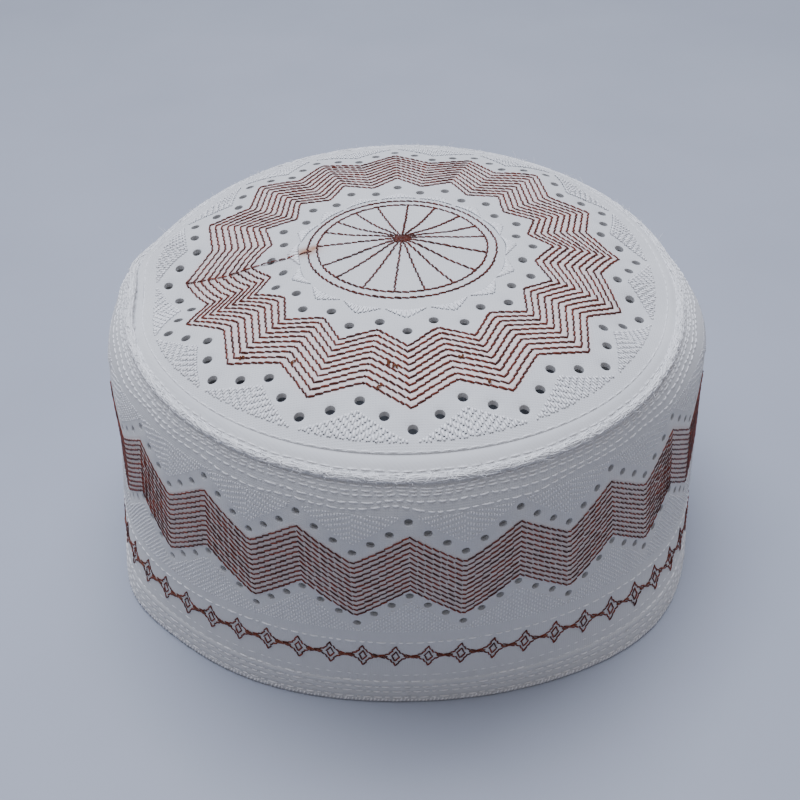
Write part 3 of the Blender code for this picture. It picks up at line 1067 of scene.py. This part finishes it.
starts, ends = [], []
columns = round(BAND_LENGTH / FILL_COLUMN)
for column in range(columns):
    turn = (column + 0.5) / columns * 2 * math.pi - math.pi
    part = math.degrees(turn) % ZIGZAG_DEGREES / ZIGZAG_DEGREES
    to_valley = 1 - abs(2 * part - 1)
    upper_low = UPPER_FILL_EDGE[0] - UPPER_FILL_EDGE[1] * to_valley
    upper_high = UPPER_FILL_TOP - front_lift(wrap_turn(turn))
    lower_low = LOWER_FILL_BOTTOM - CHAIN_HEIGHT + chain_height(turn)
    lower_high = LOWER_FILL_EDGE[0] - LOWER_FILL_EDGE[1] * to_valley
    for low, high in ((upper_low, upper_high), (lower_low, lower_high)):
        if high - low < 0.6 * FILL_STITCH:
            continue
        for a, b in fill_columns(low, high, FILL_STITCH, (column % 2) / 2):
            starts.append(pattern_place(turn, a))
            ends.append(pattern_place(turn, b))
starts = np.array(starts) + dice.normal(0, FILL_UNEVEN, (len(starts), 2))
ends = np.array(ends) + dice.normal(0, FILL_UNEVEN, (len(ends), 2))
sew("side_satin_stitch", wall_surface, starts, ends, FILL_RADIUS, white_floss, "white_thread",
    rise=0.6, sides=3, marks=(0.0, 0.2, 0.8, 1.0), gap=0.00036, tones=(0.1, 0.9))


def running_row(height_at, stitch, wobble):
    """One row of stitches right round the band at the heights that height_at gives."""
    number = round(BAND_LENGTH / stitch)
    marks = np.arange(number + 1) / number * 2 * math.pi - math.pi
    marks[1:-1] += dice.normal(0, ROW_UNEVEN * 2 * math.pi / number, number - 1)
    heights = height_at(marks) + dice.normal(0, wobble, number + 1)
    heights[-1] = heights[0]
    places = pattern_place(marks, heights, lift=0.0)
    return places[:-1], places[1:]


def dash_height(turn):
    return chain_height(turn) + DASH_HEIGHT


sew("dashed_row", wall_surface, *running_row(dash_height, DASH_STITCH, ROW_WOBBLE), ROW_RADIUS,
    white_floss, "white_thread", gap=0.00030, tones=(0.6, 1.0))


# Hem: the band's lower edge turned up, quilted with five rows of white lockstitch and overlocked.
# Its edge is a cord of thread on which the cap stands.
HEM_CLOTH = 0.0024
HEM_ROWS = (0.0025, 0.0055, 0.0079, 0.0106, 0.0138)
HEM_QUILTED = HEM_ROWS[3]
HEM_ROW_RADIUS = 0.00024
HEM_CORD = 0.0004
HEM_FOOT = 0.0024
HEM_RING_STEP = 0.0004
HEM_PUFF = 0.00035
HEM_TUCK = 0.00025
HEM_STITCH = 0.0028
HEM_TOP = HEM_HEIGHT + 0.0002
HEM_STEPS = 400
OVERLOCK_PITCH = 0.0011
OVERLOCK_LOW = 0.00035
OVERLOCK_HIGH = 0.0019
OVERLOCK_SLANT = 0.0006
OVERLOCK_UNEVEN = 0.0002


def hem_puff(height):
    """How far the hem swells between its quilted rows. Above them the band tucks it in."""
    marks = [HEM_CORD] + [row for row in HEM_ROWS if row <= HEM_QUILTED]
    puff = np.where(height > HEM_QUILTED, -HEM_TUCK, 0.0)
    for low, high in zip(marks[:-1], marks[1:]):
        inside = (height > low) & (height < high)
        puff[inside] = HEM_PUFF * np.sin(math.pi * (height[inside] - low) / (high - low)) ** 0.7
    return puff


def hem_surface(places):
    places = np.asarray(places, float)
    azimuth = wall_azimuth(places[:, 0])
    radius = wall_radius(azimuth, places[:, 1]) + hem_puff(places[:, 1])
    return ring_points(radius, azimuth, places[:, 1])


hem_heights = np.concatenate([
    np.linspace(0.0, HEM_FOOT, 5),
    np.arange(HEM_FOOT + HEM_RING_STEP, HEM_TOP, HEM_RING_STEP),
    [HEM_TOP],
])
along = np.arange(HEM_STEPS) * BAND_LENGTH / HEM_STEPS
places = [np.column_stack([along, np.full(HEM_STEPS, height)]) for height in hem_heights]
outer_rings = [hem_surface(place) for place in places]
azimuth = wall_azimuth(along)
inner_rings = [ring_points(wall_radius(azimuth, height) - HEM_CLOTH, azimuth, height)
               for height in hem_heights]
hem = closed_band("hem_cloth", outer_rings, inner_rings, panel_cloth, places)
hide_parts("hem_band")

threads = []
for height in HEM_ROWS:
    threads.append(running_row(lambda turn: np.full_like(turn, height), HEM_STITCH, ROW_WOBBLE))
sew("hem_rows", hem_surface, *gather(threads), HEM_ROW_RADIUS, white_floss, "white_thread",
    rise=0.8, gap=0.00025, tones=(0.8, 1.0))

number = round(BAND_LENGTH / OVERLOCK_PITCH)
marks = np.arange(number) / number * BAND_LENGTH
low = np.column_stack([marks, np.full(number, OVERLOCK_LOW)])
high = np.column_stack([marks + dice.normal(OVERLOCK_SLANT, OVERLOCK_UNEVEN, number),
                        dice.normal(OVERLOCK_HIGH, OVERLOCK_UNEVEN, number)])
sew("hem_overlock", hem_surface, low, high, HEM_ROW_RADIUS, white_floss, "hem_cloth", rise=0.4, sink=0.5)


# Seam: crown and band are sewn right sides together, turned and topstitched, so a thick rounded ridge
# runs round the rim. Its thread is worn and frayed.
RIDGE_STEPS = 720
RIDGE_SIDES = 14
RIDGE_HALF_WIDTH = 0.0012
RIDGE_HALF_HEIGHT = 0.0010
RIDGE_CENTRE = (-0.0003, 0.0001)
RIDGE_LUMP = 0.00010
RIDGE_STRANDS = (-0.3, 0.15, 0.6, 1.05, 1.5, 1.95, 2.4)
RIDGE_SIDE_WIDTH = 0.0007
STRAND_STITCH = 0.0036
STRAND_PITCH = 0.0034
STRAND_UNEVEN = 0.0006
STRAND_SPREAD = 0.28
RIDGE_THREAD_RADIUS = 0.00014
SLANT_STITCHES = 320
SLANT_REACH = (0.0008, 0.0024)
PEAK_PITCH = 0.0060
PEAK_FOOT = 0.0019
PEAK_UNEVEN = (0.0005, 0.0002)
ROLL_DEPTH = 0.016
SEAM_ROWS = (
    # distance down the band from the seam, stitch length, unevenness of the stitches, sway of the row
    (0.0018, 0.0030, 0.00012, 0.0002),
    (0.0028, 0.0028, 0.00010, 0.0002),
    (0.0038, 0.0028, 0.00010, 0.0002),
    (0.0058, 0.0027, 0.00012, 0.0003),
    (0.0080, 0.0027, 0.00012, 0.0007),
)
ROW_PINCHES = (
    # radians from the front, half width, rise of the rows
    (-0.02, 0.045, 0.0005),
    (-0.14, 0.080, -0.0005),
    (0.11, 0.060, -0.0002),
)
PINCHED_ROW = 0.0058
CROWN_ROW_SHARE = 0.9830
CROWN_ROW_SWAY = 0.0012
CROWN_ROW_WAVES = 31
CROWN_ROW_STITCH = 0.0033
FIBRES = 600
FIBRE_RADIUS = 0.00007
FIBRE_LONGEST = 0.0030

ridge_turns = np.linspace(0, 2 * math.pi, RIDGE_STEPS, endpoint=False)
rings = []
for side in range(RIDGE_SIDES):
    turn = 2 * math.pi * side / RIDGE_SIDES
    lump = RIDGE_LUMP * dice.normal(0, 1, RIDGE_STEPS)
    lump = (lump + np.roll(lump, 1)) / 1.4
    radius = rim_radius(ridge_turns) + RIDGE_CENTRE[0] + (RIDGE_HALF_WIDTH + lump) * math.cos(turn)
    height = SEAM_Z + RIDGE_CENTRE[1] + (RIDGE_HALF_HEIGHT + lump) * math.sin(turn)
    rings.append(ring_points(radius, ridge_turns, height))
ridge = mesh_piece("rim_seam_ridge", np.concatenate(rings), ring_faces(RIDGE_SIDES, RIDGE_STEPS),
                   panel_cloth)
ridge_places = np.column_stack([np.tile(ridge_turns * RIM_MEAN_RADIUS, RIDGE_SIDES),
                                np.repeat(np.arange(RIDGE_SIDES) * RIDGE_SIDE_WIDTH, RIDGE_STEPS)])
add_flat_places(ridge, ridge_places)
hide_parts("rim_seam")


def height_below_seam(turn, distance):
    """Height of a place on the side band that lies a distance down its rolled top from the seam."""
    heights = np.linspace(SEAM_Z, SEAM_Z - ROLL_DEPTH, 41)
    azimuth = wall_azimuth(turn * BAND_LENGTH / (2 * math.pi))
    radii = wall_radius(azimuth[:, None], heights)
    run = np.cumsum(np.hypot(np.diff(radii, axis=1), np.diff(heights)), axis=1)
    return np.array([np.interp(reach, np.append(0, steps), heights) for reach, steps in zip(distance, run)])


def row_distance(turn, below, sway):
    """Distance of a row down from the seam: it sways, and is drawn up and down where the cloth puckers."""
    distance = below + sway * (np.sin(9 * turn + 700 * below) + 0.6 * np.sin(22 * turn))
    for spot, half_width, rise in ROW_PINCHES:
        distance = distance - rise * below / PINCHED_ROW * np.exp(-((turn - spot) / half_width) ** 2)
    return distance


threads = []
for below, stitch, uneven, sway in SEAM_ROWS:
    threads.append(running_row(lambda turn: height_below_seam(turn, row_distance(turn, below, sway)),
                               stitch, uneven))
sew("seam_rows", wall_surface, *gather(threads), ROW_RADIUS, white_floss, "white_thread",
    rise=0.7, gap=0.00022, tones=(0.8, 1.0))

ridge_length = 2 * math.pi * RIM_MEAN_RADIUS
turns = np.linspace(0, 2 * math.pi, round(ridge_length / CROWN_ROW_STITCH) + 1)
line = crown_plan(CROWN_ROW_SHARE + CROWN_ROW_SWAY * np.sin(CROWN_ROW_WAVES * turns), turns)
sew("crown_edge_row", margin_surface, line[:-1], line[1:], ROW_RADIUS, white_floss, "white_thread",
    rise=0.8, gap=0.0002, tones=(0.5, 1.0))


def ridge_surface(places):
    """The seam ridge unrolled: distance round the rim, and angle round the ridge times its radius."""
    azimuth = places[:, 0] / RIM_MEAN_RADIUS
    turn = places[:, 1] / RIDGE_HALF_WIDTH
    radius = rim_radius(azimuth) + RIDGE_CENTRE[0] + RIDGE_HALF_WIDTH * np.cos(turn)
    height = SEAM_Z + RIDGE_CENTRE[1] + RIDGE_HALF_HEIGHT * np.sin(turn)
    return ring_points(radius, azimuth, height)


threads = []
for strand in RIDGE_STRANDS:
    marks = np.arange(0, ridge_length, STRAND_PITCH)
    marks = marks + dice.normal(0, STRAND_UNEVEN, len(marks))
    spread = (strand + dice.normal(0, STRAND_SPREAD, (len(marks), 2))) * RIDGE_HALF_WIDTH
    threads.append((np.column_stack([marks, spread[:, 0]]),
                    np.column_stack([marks + STRAND_STITCH, spread[:, 1]])))
marks = np.sort(dice.uniform(0, ridge_length, SLANT_STITCHES))
slant = dice.uniform(*SLANT_REACH, SLANT_STITCHES) * dice.choice([-1, 1], SLANT_STITCHES)
low = np.column_stack([marks, dice.uniform(-0.6, 0.8, SLANT_STITCHES) * RIDGE_HALF_WIDTH])
rise = np.column_stack([slant, dice.uniform(0.8, 2.0, SLANT_STITCHES) * RIDGE_HALF_WIDTH])
threads.append((low, low + rise))
# The overlocking needle's loops stand over the ridge like a row of small peaks
marks = np.arange(0, ridge_length, PEAK_PITCH)
marks = marks + dice.normal(0, PEAK_UNEVEN[0], len(marks))
foot = -0.5 * RIDGE_HALF_WIDTH + dice.normal(0, PEAK_UNEVEN[1], len(marks))
peak = 2.5 * RIDGE_HALF_WIDTH + dice.normal(0, PEAK_UNEVEN[1], len(marks))
for side in (-1, 1):
    threads.append((np.column_stack([marks + side * PEAK_FOOT, foot]), np.column_stack([marks, peak])))
sew("ridge_overlock", ridge_surface, *gather(threads), RIDGE_THREAD_RADIUS, white_floss, "seam_thread",
    rise=1.0, tones=(0.5, 1.0))

fray_thread = thread_material("frayed_cotton_fibre", "#E2E3E7", "#F4F4F6", 0.6, "#D9DADF")
azimuths = dice.uniform(0, 2 * math.pi, FIBRES)
around_ridge = dice.uniform(-0.4, 2.4, FIBRES)
root = ridge_surface(np.column_stack([azimuths * RIM_MEAN_RADIUS, around_ridge * RIDGE_HALF_WIDTH]))
outward = np.column_stack([np.cos(azimuths), np.sin(azimuths), np.zeros(FIBRES)])
sideways = np.column_stack([-np.sin(azimuths), np.cos(azimuths), np.zeros(FIBRES)])
length = np.minimum(0.0005 + dice.exponential(0.0006, FIBRES)[:, None], FIBRE_LONGEST)
swing = dice.normal(0, 1, (FIBRES, 2))
direction = (outward * np.cos(around_ridge)[:, None] + (0, 0, 1) * np.sin(around_ridge)[:, None]
             + 1.6 * swing[:, :1] * sideways)
direction /= np.linalg.norm(direction, axis=1, keepdims=True)
curl = 0.5 * length * (swing[:, 1:] * sideways + 0.4 * outward)
fibre_points = []
side = np.cross(direction, (0.3, 0.5, 0.8))
side /= np.linalg.norm(side, axis=1, keepdims=True)
upward = np.cross(side, direction)
for mark in (0.0, 0.5, 1.0):
    middle = root + direction * length * mark + curl * mark ** 2
    for turn in (0.0, 2 * math.pi / 3, 4 * math.pi / 3):
        around_fibre = math.cos(turn) * side + math.sin(turn) * upward
        fibre_points.append(middle + FIBRE_RADIUS * (1 - 0.5 * mark) * around_fibre)
points = np.stack(fibre_points, 1).reshape(-1, 3)
points[:, 2] = np.maximum(points[:, 2], 0.001)
faces = []
for fibre in range(FIBRES):
    base = fibre * 9
    for station in (0, 3):
        for corner in range(3):
            after = (corner + 1) % 3
            faces.append((base + station + corner, base + station + after,
                          base + station + 3 + after, base + station + 3 + corner))
    faces.append((base + 2, base + 1, base))
    faces.append((base + 6, base + 7, base + 8))
fibres = mesh_piece("frayed_fibres", points, faces, fray_thread)
add_measure(fibres, "tone", np.repeat(dice.uniform(0.3, 1, FIBRES), 9))


# Loose thread: the trimmer missed a jump stitch from the wheel to the star's left side, and some brown
# stitches have pulled up into small tan loops.
JUMP = (
    # share of the radius, azimuth
    (0.323, -178.5),
    (0.42, -176.6),
    (0.48, -177.4),
    (0.5515, -178.3),
    (0.64, -178.5),
    (0.72, -179.1),
    (0.796, -178.8),
)
JUMP_STITCH = 0.0032
JUMP_RADIUS = 0.00022
LOOPS = (
    # share of the radius, azimuth
    (0.628, -94.1),
    (0.644, -92.7),
    (0.622, -74.3),
    (0.744, -70.1),
    (0.764, -132.0),
    (0.695, -119.2),
    (0.725, -96.0),
)
LOOP_RADIUS = 0.0006
LOOP_THREAD_RADIUS = 0.0003
jump_line = np.array([crown_place(share, turn) for share, turn in JUMP])
sew("jump_thread", crown_surface, *split_line(jump_line, JUMP_STITCH), JUMP_RADIUS, brown_thread,
    "brown_thread", rise=1.6, gap=-0.0001)
loop_thread = thread_material("pulled_brown_thread", "#8C5233", "#A06E52", 0.45, "#6A3A24")
threads = []
for share, turn in LOOPS:
    middle = crown_place(share, turn)
    angle = dice.uniform(0, 2 * math.pi)
    bend = angle + np.linspace(0, math.pi * 1.1, 5)
    ring = middle + LOOP_RADIUS * np.column_stack([np.cos(bend), np.sin(bend)])
    threads.append((ring[:-1], ring[1:]))
sew("pulled_loops", crown_surface, *gather(threads), LOOP_THREAD_RADIUS, loop_thread, "brown_thread",
    rise=2.2, gap=-0.0001)
